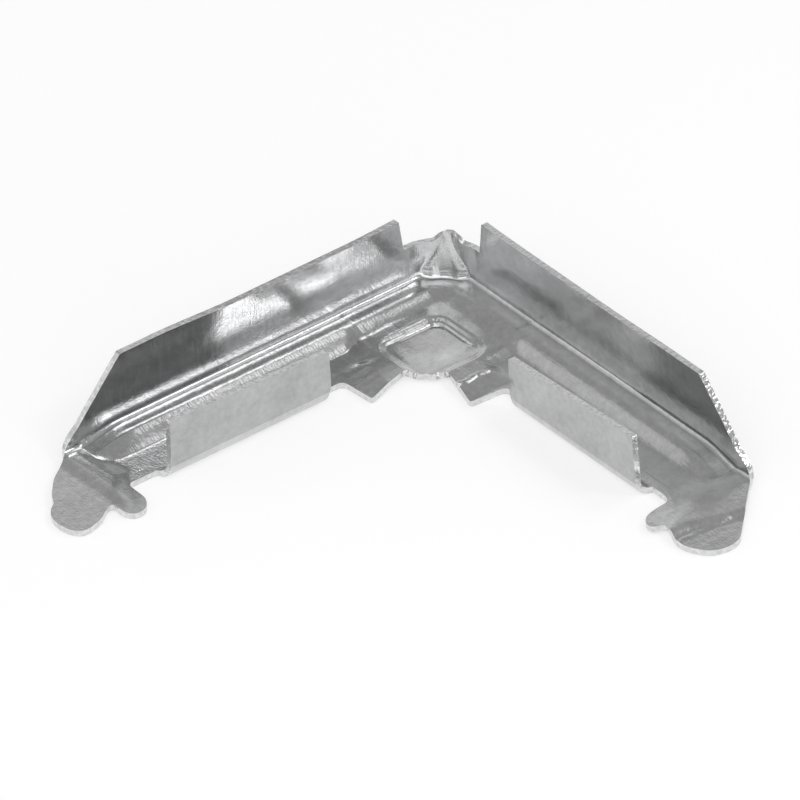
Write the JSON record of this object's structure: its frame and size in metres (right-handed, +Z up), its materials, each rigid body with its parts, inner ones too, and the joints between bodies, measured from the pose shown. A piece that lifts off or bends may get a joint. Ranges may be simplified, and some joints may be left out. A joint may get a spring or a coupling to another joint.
{
  "type": "screen frame corner",
  "caption": "Right-angled corner key pressed from thin steel sheet: channel arms with an outer wall, a raised shoulder along it and an inner tab, to join the bars of a window screen frame.",
  "frame": {"origin": "bottom centre of the bounding box, on the plane of the floor's underside", "axes": "+X and +Y run along the two arms from the outer corner to the tips, +Z up from the floor to the top of the walls"},
  "size_m": [0.0508, 0.0508, 0.0086],
  "materials": {
    "zinc_plated_steel": "bright zinc plate on pressed sheet, blurred reflections, sheared edges bare and bright"
  },
  "bodies": {
    "root": {"frame_corner": "zinc_plated_steel"}
  },
  "joints": []
}
